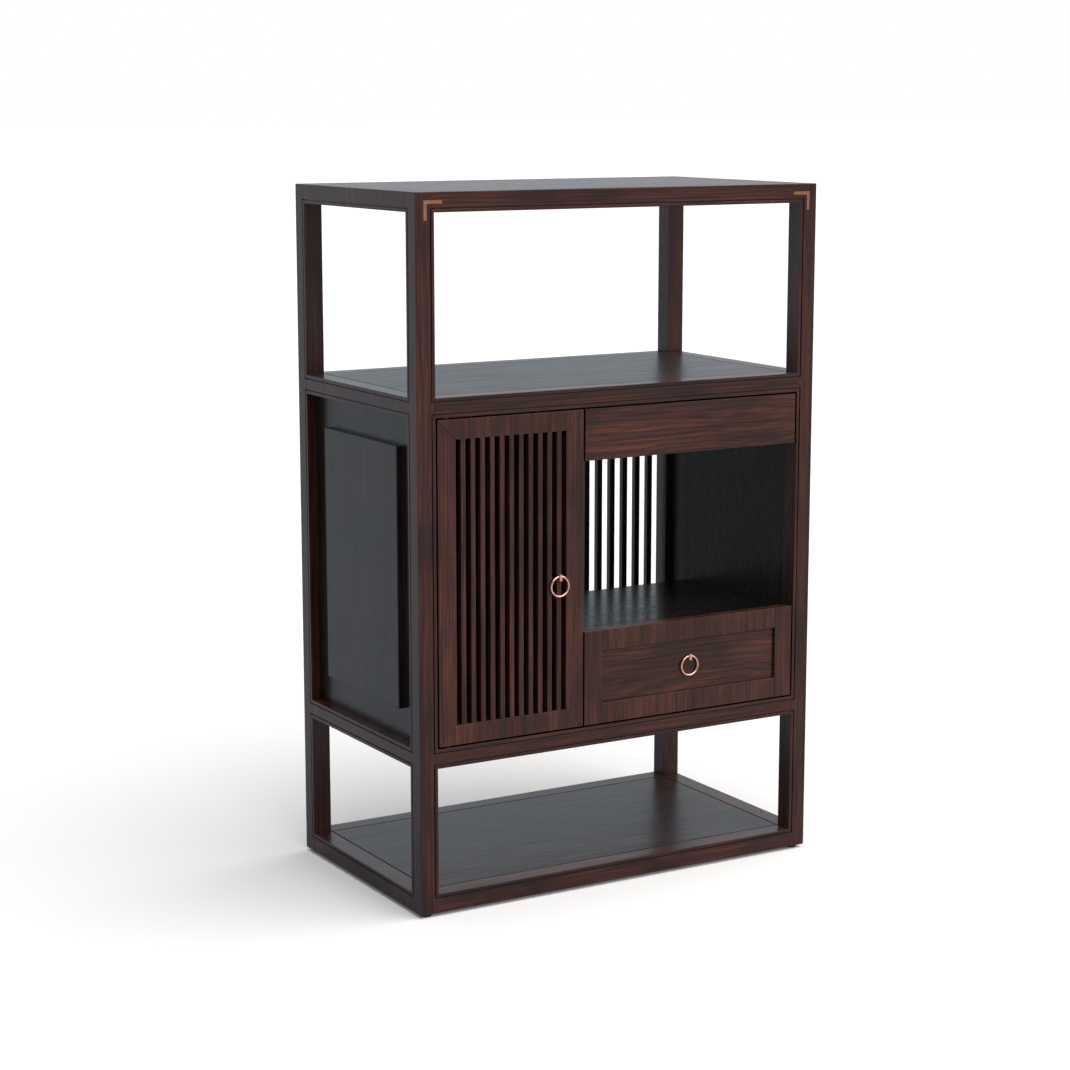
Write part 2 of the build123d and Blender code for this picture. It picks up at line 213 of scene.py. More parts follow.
FRAME_WALNUT = WoodFinish(
    dark=(0.0110, 0.0050, 0.0040),
    body=(0.0880, 0.0235, 0.0150),
    warm=(0.1150, 0.0335, 0.0200),
    roughness=0.26,
    line_strength=0.50,
    patch_strength=0.50,
    relief=0.00003,
)
# painted shade: a darker copy of the walnut for the lower shelves, which lie in the shade of the
# levels above
SHADED_SHELF_WALNUT = WoodFinish(
    dark=(0.0080, 0.0050, 0.0045),
    body=(0.0480, 0.0180, 0.0140),
    warm=(0.0760, 0.0270, 0.0190),
    roughness=0.30,
    line_strength=0.55,
    patch_strength=0.40,
    relief=0.00002,
)
# partly the walls' own dark stain, partly painted shade for the shaded sides and the niche wall
CASE_WALNUT_AND_SHADE = WoodFinish(
    dark=(0.0060, 0.0050, 0.0042),
    body=(0.0260, 0.0160, 0.0125),
    warm=(0.0460, 0.0260, 0.0195),
    roughness=0.26,
    line_strength=0.60,
    patch_strength=0.45,
    relief=0.00002,
)
# painted shade: a darker copy of the walnut for the inside of the closed compartment
SHADED_INNER_WALNUT = WoodFinish(
    dark=(0.0045, 0.0040, 0.0034),
    body=(0.0145, 0.0105, 0.0085),
    warm=(0.0240, 0.0165, 0.0130),
    roughness=0.34,
    line_strength=0.50,
    patch_strength=0.50,
    relief=0.00002,
)
# painted shade: a darker copy of the walnut for the niche's floor and ceiling
SHADED_NICHE_WALNUT = WoodFinish(
    dark=(0.0045, 0.0040, 0.0034),
    body=(0.0165, 0.0105, 0.0085),
    warm=(0.0320, 0.0165, 0.0125),
    roughness=0.24,
    line_strength=0.50,
    patch_strength=0.50,
    relief=0.00001,
)
FRONT_WALNUT = WoodFinish(
    dark=(0.0130, 0.0056, 0.0044),
    body=(0.1080, 0.0305, 0.0190),
    warm=(0.1500, 0.0455, 0.0270),
    roughness=0.28,
    line_strength=0.55,
    patch_strength=0.40,
    relief=0.00003,
)
FIGURED_WALNUT = WoodFinish(
    dark=(0.0120, 0.0054, 0.0043),
    body=(0.1060, 0.0300, 0.0185),
    warm=(0.1600, 0.0480, 0.0280),
    roughness=0.28,
    line_strength=0.55,
    patch_strength=0.45,
    relief=0.00003,
)
BOX_WOOD = WoodFinish(
    dark=(0.230, 0.145, 0.080),
    body=(0.400, 0.285, 0.175),
    warm=(0.500, 0.370, 0.240),
    roughness=0.62,
    line_strength=0.35,
    patch_strength=0.45,
    relief=0.00008,
)
ROSE_GOLD = MetalFinish(
    base=(0.800, 0.440, 0.330),
    worn=(0.900, 0.560, 0.440),
    roughness=0.24,
    scratch_scale=900.0,
)
COPPER = MetalFinish(
    base=(0.330, 0.150, 0.075),
    worn=(0.430, 0.215, 0.120),
    roughness=0.42,
    scratch_scale=1600.0,
)
AGED_BRASS = MetalFinish(
    base=(0.075, 0.050, 0.026),
    worn=(0.160, 0.110, 0.055),
    roughness=0.46,
    scratch_scale=1200.0,
)
STEEL = MetalFinish(
    base=(0.420, 0.420, 0.430),
    worn=(0.560, 0.560, 0.570),
    roughness=0.38,
    scratch_scale=1400.0,
)
NYLON = MouldedFinish(base=(0.014, 0.013, 0.012), roughness=0.55)
CATCH_CASE = MouldedFinish(base=(0.040, 0.024, 0.018), roughness=0.48)


class NodeGraph:
    """Small helper that adds and joins shader nodes in one material or world.

    Attributes:
        MIX_INPUTS: The mix node's sockets for the factor and the two colours.
        MIX_RESULT: The mix node's socket for the mixed colour.
    """

    MIX_INPUTS: ClassVar[tuple[int, int, int]] = (0, 6, 7)
    MIX_RESULT: ClassVar[int] = 2

    def __init__(self, tree: bpy.types.NodeTree) -> None:
        """Clear the node tree and build in it."""
        self.tree = tree
        self.tree.nodes.clear()

    def add(
        self, kind: str, inputs: dict[Any, Any] | None = None, **settings: Any
    ) -> bpy.types.Node:
        """Add a node.

        Args:
            kind: The node's type name.
            inputs: Values or output sockets, by input name or index.
            **settings: Properties of the node.

        Returns:
            The new node.
        """
        node = self.tree.nodes.new(kind)
        for name, value in settings.items():
            setattr(node, name, value)
        for key, value in (inputs or {}).items():
            self.feed(node.inputs[key], value)
        return node

    def feed(self, socket: bpy.types.NodeSocket, value: Any) -> None:
        """Set a socket to a value, or join it to an output.

        Args:
            socket: The input socket.
            value: A constant or an output socket.
        """
        if isinstance(value, bpy.types.NodeSocket):
            self.tree.links.new(value, socket)
        elif isinstance(value, tuple) and len(value) == 3 and socket.type == "RGBA":
            socket.default_value = (*value, 1.0)
        else:
            socket.default_value = value

    def math(self, operation: str, first: Any, second: Any = 0.0) -> bpy.types.NodeSocket:
        """Combine two numbers or sockets by one of Blender's operations."""
        return self.add("ShaderNodeMath", {0: first, 1: second}, operation=operation).outputs[0]

    def mix(
        self, factor: Any, first: Any, second: Any, blend: str = "MIX"
    ) -> bpy.types.NodeSocket:
        """Mix two colours.

        Args:
            factor: Share of the second colour.
            first: Colour or socket.
            second: Colour or socket.
            blend: Blender's name of the blend.

        Returns:
            The mixed colour's socket.
        """
        node = self.add("ShaderNodeMix", data_type="RGBA", blend_type=blend)
        for index, value in zip(self.MIX_INPUTS, (factor, first, second), strict=True):
            self.feed(node.inputs[index], value)
        return node.outputs[self.MIX_RESULT]

    def ramp(self, value: Any, span: Span, result: Span = (0.0, 1.0)) -> bpy.types.NodeSocket:
        """Map a number smoothly from one range to another.

        Args:
            value: The number's socket.
            span: Start and end of the range read.
            result: What comes out at that start and at that end.

        Returns:
            The mapped number's socket.
        """
        numbers = {
            "Value": value,
            "From Min": span[0],
            "From Max": span[1],
            "To Min": result[0],
            "To Max": result[1],
        }
        node = self.add("ShaderNodeMapRange", numbers, interpolation_type="SMOOTHSTEP")
        return node.outputs[0]

    def noise(self, vector: Any, layer: Layer) -> bpy.types.NodeSocket:
        """Add a noise texture.

        Args:
            vector: Coordinates, with Z along the grain.
            layer: Size, stretch and fineness of the noise.

        Returns:
            The noise value's socket, 0 to 1.
        """
        drawn_out = self.add(
            "ShaderNodeVectorMath", {0: vector, 1: (1.0, 1.0, layer.stretch)}, operation="MULTIPLY"
        )
        inputs = {
            "Vector": drawn_out.outputs[0],
            "Scale": layer.scale,
            "Detail": layer.detail,
            "Roughness": layer.rough,
        }
        return self.add("ShaderNodeTexNoise", inputs).outputs[0]

    def relief(self, height: Any, depth: float, strength: float) -> bpy.types.NodeSocket:
        """Add a bump of some depth in metres, and give its normal's socket."""
        inputs = {"Strength": strength, "Distance": depth, "Height": height}
        return self.add("ShaderNodeBump", inputs).outputs[0]


class MaterialLibrary:
    """Makes each finish once and hands it out by name.

    Attributes:
        BAND_STRENGTH: How much the broad bands darken the wood, 0 to 1.
        STREAK_STRENGTH: How much the fine streaks darken it.
        PORE_STRENGTH: How much the open pores darken it.
        STREAK_HEIGHT: How far the streaks stand up, against the depth of the pores.
        POLISH_IOR: Refractive index of the polish.
        SLOPE: How much flatter than a circle a growth ring is across the board's second side.
        RIPPLE_SHARE: Height of the rings' small ripple against their sway.
        SEED_STEP: Most that a board's figure is shifted along the grain, in metres.
        CORNER_SHADE_REACH: How far the painted shade spreads from a corner, in metres.
        CORNER_SHADE_SAMPLES: Rays that look for a corner.
    """

    BAND_STRENGTH: ClassVar[float] = 0.55
    STREAK_STRENGTH: ClassVar[float] = 0.70
    PORE_STRENGTH: ClassVar[float] = 0.55
    STREAK_HEIGHT: ClassVar[float] = 0.35
    POLISH_IOR: ClassVar[float] = 1.42
    SLOPE: ClassVar[float] = 0.55
    RIPPLE_SHARE: ClassVar[float] = 0.05
    SEED_STEP: ClassVar[float] = 7.0
    CORNER_SHADE_REACH: ClassVar[float] = 0.012
    CORNER_SHADE_SAMPLES: ClassVar[int] = 6

    def __init__(self) -> None:
        """Start with no material."""
        self.made: dict[str, bpy.types.Material] = {}

    def _new(self, name: str) -> tuple[bpy.types.Material, NodeGraph]:
        """Create an empty node material.

        Args:
            name: The material's name.

        Returns:
            The material and its graph.
        """
        material = bpy.data.materials.new(name)
        material.use_nodes = True
        return material, NodeGraph(material.node_tree)

    @staticmethod
    def _close(graph: NodeGraph, shader: bpy.types.Node) -> None:
        """Join a surface shader to the material's output."""
        graph.add("ShaderNodeOutputMaterial", {"Surface": shader.outputs[0]})

    def wood(
        self, finish: WoodFinish, label: str, grain: Grain, figure: Figure
    ) -> bpy.types.Material:
        """Procedural wood with growth lines, streaks and open pores.

        Args:
            finish: Species and polish.
            label: Name of the finish.
            grain: Direction of the grain.
            figure: How the board was cut.

        Returns:
            The material.
        """
        name = f"{label}_{grain.name.lower()}_{figure.name.lower()}"
        if name in self.made:
            return self.made[name]
        material, graph = self._new(name)
        board = self._board_coordinates(graph, grain)
        lines = self._growth_lines(graph, board, figure)
        streaks = graph.noise(board, STREAKS)
        bands = graph.noise(board, BANDS)
        clouds = graph.noise(board, CLOUDS)
        pores = graph.ramp(graph.noise(board, PORES), OPEN_PORES)

        tone = graph.mix(graph.ramp(clouds, WARM_CLOUDS), finish.body, finish.warm)
        darkened = (
            graph.ramp(clouds, DARK_CLOUDS, (0.0, finish.patch_strength)),
            graph.ramp(bands, DARK_BANDS, (0.0, self.BAND_STRENGTH)),
            graph.ramp(streaks, DARK_STREAKS, (0.0, self.STREAK_STRENGTH)),
            graph.math("MULTIPLY", lines, finish.line_strength),
            graph.math("MULTIPLY", pores, self.PORE_STRENGTH),
        )
        for share in darkened:
            tone = graph.mix(share, tone, finish.dark)
        tone = graph.mix(1.0, tone, self._board_tint(graph), "MULTIPLY")
        # painted shade: grooves, joints and inner corners darken towards the dark colour
        tone = graph.mix(self._painted_corner_shade(graph), tone, finish.dark)

        raised = graph.math("MULTIPLY", streaks, self.STREAK_HEIGHT)
        height = graph.math("SUBTRACT", raised, pores)
        shader = graph.add(
            "ShaderNodeBsdfPrincipled",
            {
                "Base Color": tone,
                "Roughness": graph.ramp(streaks, DULL_STREAKS, finish.gloss()),
                "IOR": self.POLISH_IOR,
                "Normal": graph.relief(height, finish.relief, finish.RELIEF_STRENGTH),
            },
        )
        self._close(graph, shader)
        self.made[name] = material
        return material

    def _board_coordinates(self, graph: NodeGraph, grain: Grain) -> bpy.types.NodeSocket:
        """Coordinates whose Z runs along the grain, shifted for every board.

        Args:
            graph: The material's graph.
            grain: Direction of the grain.

        Returns:
            The coordinates' socket.
        """
        place = graph.add("ShaderNodeTexCoord").outputs["Object"]
        axes = graph.add("ShaderNodeSeparateXYZ", {0: place}).outputs
        along = grain.value
        across = [axes[index] for index in range(3) if index != along]
        turned = graph.add("ShaderNodeCombineXYZ", {0: across[0], 1: across[1], 2: axes[along]})
        board = graph.add("ShaderNodeObjectInfo").outputs["Random"]
        seed = graph.math("MULTIPLY", board, self.SEED_STEP)
        shift = graph.add("ShaderNodeCombineXYZ", {0: 0.0, 1: 0.0, 2: seed})
        return graph.add(
            "ShaderNodeVectorMath", {0: turned.outputs[0], 1: shift.outputs[0]}, operation="ADD"
        ).outputs[0]

    def _growth_lines(self, graph: NodeGraph, board: Any, figure: Figure) -> bpy.types.NodeSocket:
        """Late wood lines of a log cut at some distance from its heart.

        Args:
            graph: The material's graph.
            board: Board coordinates, with Z along the grain.
            figure: How the board was cut.

        Returns:
            Darkness of the lines, 0 to 1.
        """
        cut = figure.value
        sway = graph.math("MULTIPLY", graph.noise(board, SWAY), cut.sway)
        ripple = graph.math("MULTIPLY", graph.noise(board, RIPPLE), self.RIPPLE_SHARE * cut.sway)
        axes = graph.add("ShaderNodeSeparateXYZ", {0: board}).outputs
        sides = (
            graph.math("ADD", axes[0], cut.heart),
            graph.math("MULTIPLY", axes[1], self.SLOPE),
        )
        squares = [graph.math("MULTIPLY", side, side) for side in sides]
        radius = graph.math("SQRT", graph.math("ADD", *squares))
        radius = graph.math("ADD", graph.math("ADD", radius, sway), ripple)
        phase = graph.math("FRACT", graph.math("DIVIDE", radius, cut.ring_gap))
        rise = graph.ramp(phase, LATE_WOOD)
        fall = graph.ramp(phase, RING_END, (1.0, 0.0))
        return graph.math("MULTIPLY", rise, fall)

    @staticmethod
    def _board_tint(graph: NodeGraph) -> bpy.types.NodeSocket:
        """Small change of tone from board to board, as a tint to multiply by."""
        board = graph.add("ShaderNodeObjectInfo").outputs["Random"]
        return graph.mix(board, *BOARD_TINTS)

    def _painted_corner_shade(self, graph: NodeGraph) -> bpy.types.NodeSocket:
        """Share of painted shade in grooves, joints and inner corners, found by an ambient
        occlusion node.

        Args:
            graph: The material's graph.

        Returns:
            The share's socket, 0 to 1.
        """
        corner = graph.add(
            "ShaderNodeAmbientOcclusion", {"Distance": self.CORNER_SHADE_REACH}, samples=self.CORNER_SHADE_SAMPLES
        )
        return graph.ramp(corner.outputs["AO"], PAINTED_CORNER_SHADE)

    def metal(self, finish: MetalFinish, label: str) -> bpy.types.Material:
        """Polished or brushed metal with handling marks.

        Args:
            finish: Colour and polish.
            label: Name of the finish.

        Returns:
            The material.
        """
        if label in self.made:
            return self.made[label]
        material, graph = self._new(label)
        place = graph.add("ShaderNodeTexCoord").outputs["Object"]
        marks = graph.noise(place, HANDLING)
        scratches = graph.noise(place, finish.scratches())
        tone = graph.mix(graph.ramp(marks, WORN_SPOTS), finish.base, finish.worn)
        depth, strength = finish.SCRATCH_DEPTH, finish.RELIEF_STRENGTH
        shader = graph.add(
            "ShaderNodeBsdfPrincipled",
            {
                "Base Color": tone,
                "Metallic": 1.0,
                "Roughness": graph.ramp(scratches, DULL_SCRATCHES, finish.gloss()),
                "Normal": graph.relief(scratches, depth, strength),
            },
        )
        self._close(graph, shader)
        self.made[label] = material
        return material

    def moulded(self, finish: MouldedFinish, label: str) -> bpy.types.Material:
        """Moulded plastic with a fine spark-eroded texture.

        Args:
            finish: Colour and gloss.
            label: Name of the finish.

        Returns:
            The material.
        """
        if label in self.made:
            return self.made[label]
        material, graph = self._new(label)
        place = graph.add("ShaderNodeTexCoord").outputs["Object"]
        texture = graph.noise(place, MOULD_TEXTURE)
        cloud = graph.noise(place, MOULD_CLOUDS)
        light = tuple(finish.LIGHTEST * value for value in finish.base)
        tone = graph.mix(graph.ramp(cloud, PALE_CLOUDS), finish.base, light)
        depth, strength = finish.TEXTURE_DEPTH, finish.RELIEF_STRENGTH
        shader = graph.add(
            "ShaderNodeBsdfPrincipled",
            {
                "Base Color": tone,
                "Roughness": graph.ramp(cloud, DULL_CLOUDS, finish.gloss()),
                "Normal": graph.relief(texture, depth, strength),
            },
        )
        self._close(graph, shader)
        self.made[label] = material
        return material


class Bench:
    """The cabinet's nodes on the bench, with the finishes at hand."""

    def __init__(self, nodes: dict[str, bpy.types.Object]) -> None:
        """Lay out the nodes.

        Args:
            nodes: Every CAD node by name.
        """
        self.nodes = nodes
        self.library = MaterialLibrary()
        self.dressed: set[str] = set()

    def dress(self, names: Iterable[str], material: bpy.types.Material) -> None:
        """Give the whole of each node one finish.

        Args:
            names: The nodes.
            material: Their finish.
        """
        for name in names:
            mesh = self.nodes[name].data
            mesh.materials.clear()
            mesh.materials.append(material)
            self.dressed.add(name)

    def soften(self, names: Iterable[str], radius: float) -> None:
        """Round the sharp edges of nodes slightly, so that they catch the light.

        Args:
            names: The nodes.
            radius: Radius of the rounding, in metres.
        """
        for name in names:
            modifiers = self.nodes[name].modifiers
            weld = modifiers.new("joined faces", "WELD")
            weld.merge_threshold = WELD_GAP
            bevel = modifiers.new("softened edges", "BEVEL")
            bevel.width = radius
            bevel.segments = SOFT_STEPS
            bevel.limit_method = "ANGLE"
            bevel.angle_limit = SHARP_ANGLE
            bevel.use_clamp_overlap = True
            bevel.loop_slide = False
            shading = modifiers.new("even shading", "WEIGHTED_NORMAL")
            shading.keep_sharp = False

    def check_all_dressed(self) -> None:
        """Stop when a node has been forgotten.

        Raises:
            ValueError: A node has no finish.
        """
        missing = sorted(set(self.nodes) - self.dressed)
        if missing:
            raise ValueError(f"nodes without a finish: {missing}")


@dataclass
class Carcass:
    """Four posts, and four levels of rails with a flush panel in each.

    Attributes:
        edge_radius: Rounding of the boards' edges, in metres.
        lower_levels: The levels under the top, from the floor up.
        top_level: The level that takes the light from above.
    """

    edge_radius: float = WOOD_EDGE
    lower_levels: tuple[str, ...] = ("base", "lower_shelf", "upper_shelf")
    top_level: str = "top"

    def posts(self) -> list[str]:
        """Names of the four posts."""
        return [f"post_{end}_{side}" for end in ("front", "back") for side in ("left", "right")]

    def rails(self, sides: tuple[str, str]) -> list[str]:
        """Names of the rails on two opposite sides of every level."""
        levels = (*self.lower_levels, self.top_level)
        return [f"{level}_rail_{side}" for level in levels for side in sides]

    def dress(self, bench: Bench) -> list[str]:
        """Polish the frame red brown; the lower shelves get a darker copy of the walnut as painted
        shade, and the top panel the frame's brighter walnut as painted light from above.

        Args:
            bench: Where the nodes are.

        Returns:
            The nodes dressed.
        """
        library = bench.library
        upright = library.wood(FRAME_WALNUT, "frame_walnut", Grain.ALONG_Z, Figure.STRAIGHT)
        lengthwise = library.wood(FRAME_WALNUT, "frame_walnut", Grain.ALONG_X, Figure.STRAIGHT)
        # painted shade: the lower shelves get the darker copy of the walnut
        shelf = library.wood(SHADED_SHELF_WALNUT, "shaded_shelf_walnut", Grain.ALONG_X, Figure.STRAIGHT)
        standing = self.posts() + self.rails(("left", "right"))
        # painted light: the top panel takes the brighter frame walnut because it faces the light
        # from above
        lying = self.rails(("front", "back")) + [f"{self.top_level}_panel"]
        shelves = [f"{level}_panel" for level in self.lower_levels]
        bench.dress(standing, upright)
        bench.dress(lying, lengthwise)
        bench.dress(shelves, shelf)
        bench.soften(standing + lying + shelves, self.edge_radius)
        return standing + lying + shelves


@dataclass
class Case:
    """Walls of the middle bay: side panels, divider, back, grille and niche boards.

    Attributes:
        edge_radius: Rounding of the boards' edges, in metres.
    """

    edge_radius: float = WOOD_EDGE

    def dress(self, bench: Bench) -> list[str]:
        """Stain the walls nearly black, a tone that also carries painted shade, and give the
        closed inside and the niche boards darker copies as painted shade.

        Args:
            bench: Where the nodes are.

        Returns:
            The nodes dressed.
        """
        library = bench.library
        walls = ["side_panel_left", "side_panel_right", "grille_bars"]
        inside = ["divider", "compartment_back"]
        boards = ["niche_floor", "niche_ceiling"]
        # painted shade: the walls' tone is partly shade, and the inside and the niche boards get
        # darker copies of the walnut
        outer = library.wood(CASE_WALNUT_AND_SHADE, "case_walnut", Grain.ALONG_Z, Figure.STRAIGHT)
        inner = library.wood(SHADED_INNER_WALNUT, "shaded_inner_walnut", Grain.ALONG_Z, Figure.STRAIGHT)
        niche = library.wood(SHADED_NICHE_WALNUT, "shaded_niche_walnut", Grain.ALONG_X, Figure.STRAIGHT)
        bench.dress(walls, outer)
        bench.dress(inside, inner)
        bench.dress(boards, niche)
        bench.soften(walls + inside + boards, self.edge_radius)
        return walls + inside + boards


@dataclass
class SlattedDoor:
    """Mitred door frame with upright slats, its ring pull and its pivots.

    Attributes:
        edge_radius: Rounding of the wooden edges, in metres.
        pin_edge_radius: Rounding of the small metal edges, in metres.
    """

    edge_radius: float = WOOD_EDGE
    pin_edge_radius: float = METAL_EDGE

    def dress(self, bench: Bench) -> list[str]:
        """Polish the wood with its grain upright, and finish the metal.

        Args:
            bench: Where the nodes are.

        Returns:
            The nodes dressed.
        """
        library = bench.library
        members = ("stile_left", "stile_right", "rail_top", "rail_bottom", "slats")
        wood = [f"door_{member}" for member in members]
        ring = ["door_ring", "door_pull_post"]
        pivots = ["door_pivot_pins", "pivot_sockets"]
        strike = ["door_strike"]
        walnut = library.wood(FRONT_WALNUT, "front_walnut", Grain.ALONG_Z, Figure.STRAIGHT)
        bench.dress(wood, walnut)
        bench.dress(ring, library.metal(ROSE_GOLD, "rose_gold"))
        bench.dress(pivots, library.metal(AGED_BRASS, "aged_brass"))
        bench.dress(strike, library.metal(STEEL, "steel"))
        bench.soften(wood, self.edge_radius)
        bench.soften(["door_pull_post", *pivots, *strike], self.pin_edge_radius)
        return wood + ring + pivots + strike


class DrawerFront(Enum):
    """The two kinds of drawer front, with what each is made of."""

    SUNK_PANEL = "a sunk figured panel between stiles and rails, with a ring"
    PLAIN_BOARD = "one figured board"


@dataclass
class Drawer:
    """Pale drawer box that runs on wooden runners, behind a walnut front.

    Attributes:
        name: The drawer's name, with which its nodes' names begin.
        front: Kind of front.
        edge_radius: Rounding of the wooden edges, in metres.
        pin_edge_radius: Rounding of the pull's edges, in metres.
    """

    name: str
    front: DrawerFront
    edge_radius: float = WOOD_EDGE
    pin_edge_radius: float = METAL_EDGE

    def dress(self, bench: Bench) -> list[str]:
        """Leave the box bare, polish the front and finish the pull."""
        return self.dress_box(bench) + self.dress_front(bench)

    def dress_box(self, bench: Bench) -> list[str]:
        """Sides and runners with their grain from front to back, the rest across.

        Args:
            bench: Where the nodes are.

        Returns:
            The nodes dressed.
        """
        library = bench.library
        along = [f"{self.name}_{part}" for part in ("sides", "runners")]
        across = [f"{self.name}_{part}" for part in ("back", "bottom")]
        bench.dress(along, library.wood(BOX_WOOD, "box_wood", Grain.ALONG_Y, Figure.STRAIGHT))
        bench.dress(across, library.wood(BOX_WOOD, "box_wood", Grain.ALONG_X, Figure.STRAIGHT))
        bench.soften(along + across, self.edge_radius)
        return along + across

    def dress_front(self, bench: Bench) -> list[str]:
        """Figured wood where the front is broad, and plain members round it.

        Args:
            bench: Where the nodes are.

        Returns:
            The nodes dressed.
        """
        library = bench.library
        figured = library.wood(FIGURED_WALNUT, "figured_walnut", Grain.ALONG_X, Figure.CATHEDRAL)
        if self.front is DrawerFront.PLAIN_BOARD:
            board = [f"{self.name}_front"]
            bench.dress(board, figured)
            bench.soften(board, self.edge_radius)
            return board
        walnut = library.wood(FRONT_WALNUT, "front_walnut", Grain.ALONG_Z, Figure.STRAIGHT)
        panel = [f"{self.name}_panel"]
        members = [f"{self.name}_stiles", f"{self.name}_rails"]
        pull_post = [f"{self.name}_pull_post"]
        ring = [f"{self.name}_ring"]
        bench.dress(panel, figured)
        bench.dress(members, walnut)
        bench.dress(pull_post + ring, library.metal(ROSE_GOLD, "rose_gold"))
        bench.soften(panel + members, self.edge_radius)
        bench.soften(pull_post, self.pin_edge_radius)
        return panel + members + pull_post + ring


@dataclass
class Fittings:
    """Copper corner inlays, magnetic catch and floor glides.

    Attributes:
        edge_radius: Rounding of the moulded edges, in metres.
    """

    edge_radius: float = WOOD_EDGE

    def dress(self, bench: Bench) -> list[str]:
        """Finish the small parts that are fixed to the carcass.

        Args:
            bench: Where the nodes are.

        Returns:
            The nodes dressed.
        """
        library = bench.library
        bench.dress(["corner_inlays"], library.metal(COPPER, "copper"))
        bench.dress(["catch_magnet"], library.moulded(CATCH_CASE, "catch_case"))
        bench.dress(["floor_glides"], library.moulded(NYLON, "nylon"))
        bench.soften(["catch_magnet", "floor_glides"], self.edge_radius)
        return ["corner_inlays", "catch_magnet", "floor_glides"]


@dataclass
class Surroundings:
    """White backdrop behind the cabinet and a dimmer room in front of it.

    Attributes:
        diffuse: Strength on matt surfaces.
        mirrored_front: Strength of the room in reflections.
        mirrored_back: Strength of the backdrop in reflections.
        tint: Colour of its light.
        front_end: Where the room ends, as the Y part of a direction.
        back_start: Where the backdrop starts, as the Y part of a direction.
        seen: Strength where the camera sees it.
    """

    diffuse: float = 0.20
    mirrored_front: float = 0.42
    mirrored_back: float = 0.70
    tint: Colour = (0.82, 0.92, 1.0)
    front_end: float = -0.6
    back_start: float = 0.4
    seen: float = 1.0

    def build(self) -> None:
        """Make the world, with its own strength for each kind of ray."""
        world = bpy.data.worlds.new("surroundings")
        world.use_nodes = True
        bpy.context.scene.world = world
        graph = NodeGraph(world.node_tree)
        path = graph.add("ShaderNodeLightPath").outputs
        direction = graph.add("ShaderNodeTexCoord").outputs["Generated"]
        backward = graph.add("ShaderNodeSeparateXYZ", {0: direction}).outputs[1]
        strengths = (self.mirrored_front, self.mirrored_back)
        mirrored = graph.ramp(backward, (self.front_end, self.back_start), strengths)
        extra = {
            "Is Glossy Ray": graph.math("SUBTRACT", mirrored, self.diffuse),
            "Is Transmission Ray": self.seen - self.diffuse,
            "Is Camera Ray": self.seen - self.diffuse,
        }
        strength = self.diffuse
        for ray, amount in extra.items():
            strength = graph.math("ADD", graph.math("MULTIPLY", path[ray], amount), strength)
        tint = graph.mix(path["Is Camera Ray"], self.tint, WHITE)
        light = graph.add("ShaderNodeBackground", {"Color": tint, "Strength": strength})
        graph.add("ShaderNodeOutputWorld", {"Surface": light.outputs[0]})


@dataclass
class Floor:
    """Plain white floor that keeps the cabinet's soft shadow.

    Attributes:
        size: Side of the square, in metres.
        bounce: Colour that lights the cabinet from below.
        mirrored_front: Colour that the polish reflects in front of the cabinet.
        mirrored_back: Colour that the polish reflects behind the cabinet.
        front_end: Where the front colour ends, in metres along Y.
        back_start: Where the back colour starts, in metres along Y.
        seen: Colour that the camera sees.
        glow: Strength added for the camera, so that the far floor stays white.
    """

    size: float = 240.0
    bounce: Colour = (0.22, 0.21, 0.21)
    mirrored_front: Colour = (0.58, 0.59, 0.62)
    mirrored_back: Colour = (0.50, 0.55, 0.61)
    front_end: float = -1.2
    back_start: float = 0.3
    seen: Colour = (0.94, 0.94, 0.94)
    glow: float = 0.09

    def build(self) -> None:
        """Make the floor's mesh and dress it."""
        half = self.size / 2
        signs = ((-1, -1), (1, -1), (1, 1), (-1, 1))
        corners = [(half * across, half * along, 0.0) for across, along in signs]
        mesh = bpy.data.meshes.new("floor")
        mesh.from_pydata(corners, [], [(0, 1, 2, 3)])
        floor = bpy.data.objects.new("floor", mesh)
        bpy.context.scene.collection.objects.link(floor)
        mesh.materials.append(self.paint())

    def paint(self) -> bpy.types.Material:
        """Matt white paint that shows each kind of ray its own colour.

        Returns:
            The material.
        """
        material = bpy.data.materials.new("floor_paint")
        material.use_nodes = True
        graph = NodeGraph(material.node_tree)
        path = graph.add("ShaderNodeLightPath").outputs
        seen = graph.math("MAXIMUM", path["Is Camera Ray"], path["Is Transmission Ray"])
        place = graph.add("ShaderNodeTexCoord").outputs["Object"]
        along_y = graph.add("ShaderNodeSeparateXYZ", {0: place}).outputs[1]
        behind = graph.ramp(along_y, (self.front_end, self.back_start))
        mirrored = graph.mix(behind, self.mirrored_front, self.mirrored_back)
        colour = graph.mix(path["Is Glossy Ray"], self.bounce, mirrored)
        colour = graph.mix(seen, colour, self.seen)
        matte = graph.add("ShaderNodeBsdfDiffuse", {"Color": colour})
        glow = graph.math("MULTIPLY", seen, self.glow)
        lit = graph.add("ShaderNodeEmission", {"Color": WHITE, "Strength": glow})
        surface = graph.add("ShaderNodeAddShader", {0: matte.outputs[0], 1: lit.outputs[0]})
        graph.add("ShaderNodeOutputMaterial", {"Surface": surface.outputs[0]})
        return material


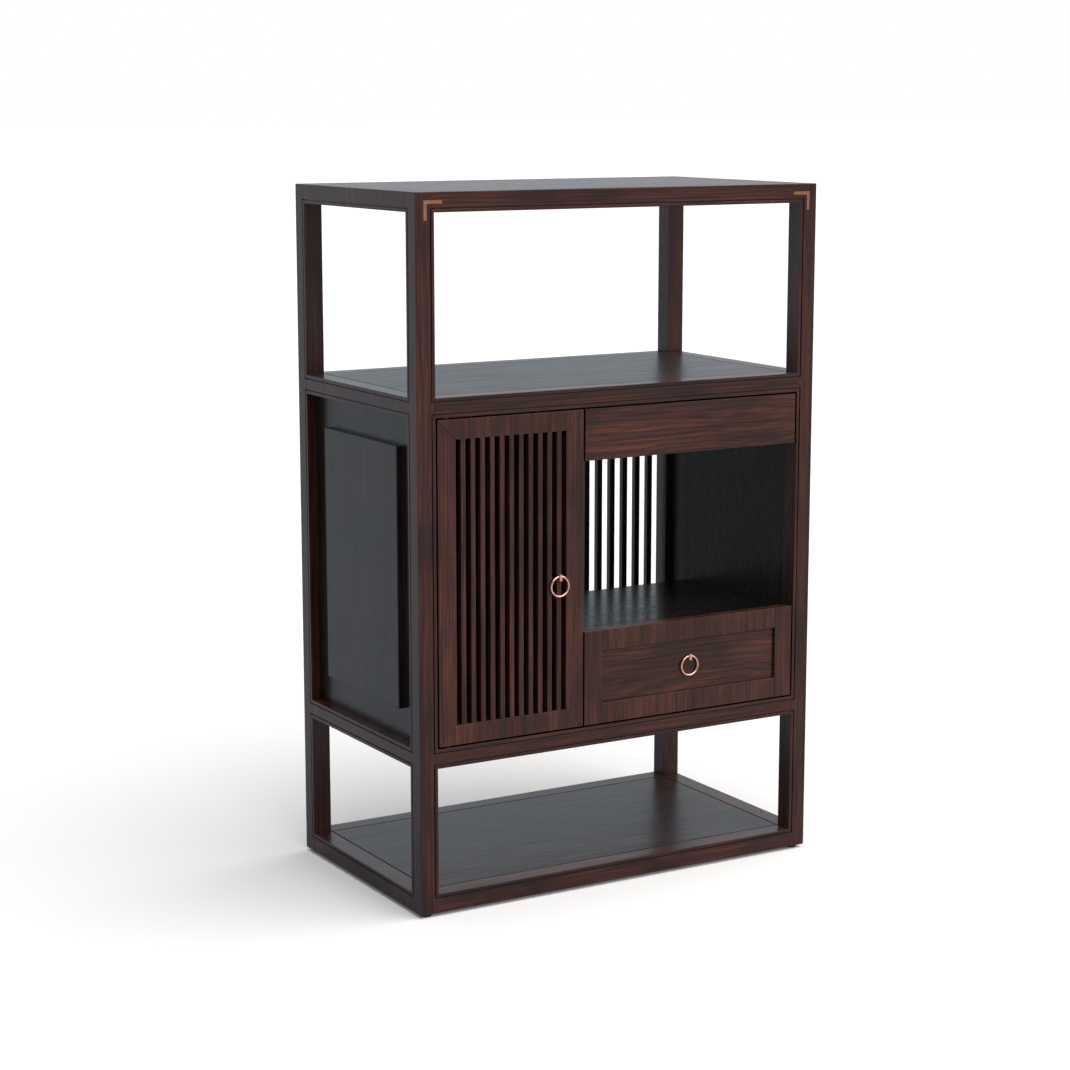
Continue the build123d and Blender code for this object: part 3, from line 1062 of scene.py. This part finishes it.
@dataclass
class KeyLight:
    """One broad warm light from the front, the right and above.

    Attributes:
        direction: From the cabinet towards the light.
        strength: Irradiance, in watts per square metre.
        spread: Angle that the light fills, in degrees.
        tint: Colour of the light.
    """

    direction: Triple = (0.30, -0.42, 0.855)
    strength: float = 3.6
    spread: float = 90.0
    tint: Colour = (1.0, 0.97, 0.94)

    def build(self) -> None:
        """Hang the light."""
        lamp = bpy.data.lights.new("key", "SUN")
        lamp.energy = self.strength
        lamp.angle = math.radians(self.spread)
        lamp.color = self.tint
        holder = bpy.data.objects.new("key", lamp)
        holder.rotation_euler = Vector(self.direction).to_track_quat("Z", "Y").to_euler()
        bpy.context.scene.collection.objects.link(holder)


@dataclass
class Viewpoint:
    """Where the photograph was taken from.

    Attributes:
        place: The lens, in metres.
        azimuth: Turn about the vertical from looking along Y, in degrees.
        elevation: Look down, in degrees.
        focal_pixels: Focal length, in pixels of the photograph.
        sensor_width: Width of the sensor, in millimetres.
        far_limit: How far the camera sees, in metres.
    """

    place: Triple = (-2.203645, -3.665983, 1.354017)
    azimuth: float = -30.511
    elevation: float = 10.218
    focal_pixels: float = 2429.05
    sensor_width: float = 36.0
    far_limit: float = 500.0

    def build(self) -> None:
        """Set up the camera and make it the scene's own."""
        data = bpy.data.cameras.new("camera")
        data.sensor_fit = "HORIZONTAL"
        data.sensor_width = self.sensor_width
        data.lens = self.sensor_width * self.focal_pixels / PHOTO_PIXELS
        data.clip_end = self.far_limit
        camera = bpy.data.objects.new("camera", data)
        camera.location = self.place
        tilt = math.radians(90.0 - self.elevation)
        camera.rotation_euler = (tilt, 0.0, math.radians(self.azimuth))
        bpy.context.scene.collection.objects.link(camera)
        bpy.context.scene.camera = camera


def main() -> None:
    """Load the frame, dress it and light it."""
    logging.basicConfig(level=logging.INFO)
    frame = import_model()
    bench = Bench(frame["nodes"])
    cabinet = (
        Carcass(),
        Case(),
        SlattedDoor(),
        Drawer("lower_drawer", DrawerFront.SUNK_PANEL),
        Drawer("upper_drawer", DrawerFront.PLAIN_BOARD),
        Fittings(),
    )
    for assembly in cabinet:
        names = assembly.dress(bench)
        LOG.info("%s dressed: %s", type(assembly).__name__, ", ".join(names))
    bench.check_all_dressed()
    bpy.context.scene.view_settings.view_transform = "Standard"
    for piece in (Surroundings(), Floor(), KeyLight(), Viewpoint()):
        piece.build()
        LOG.info("%s built", type(piece).__name__)


if __name__ == "__main__":
    main()
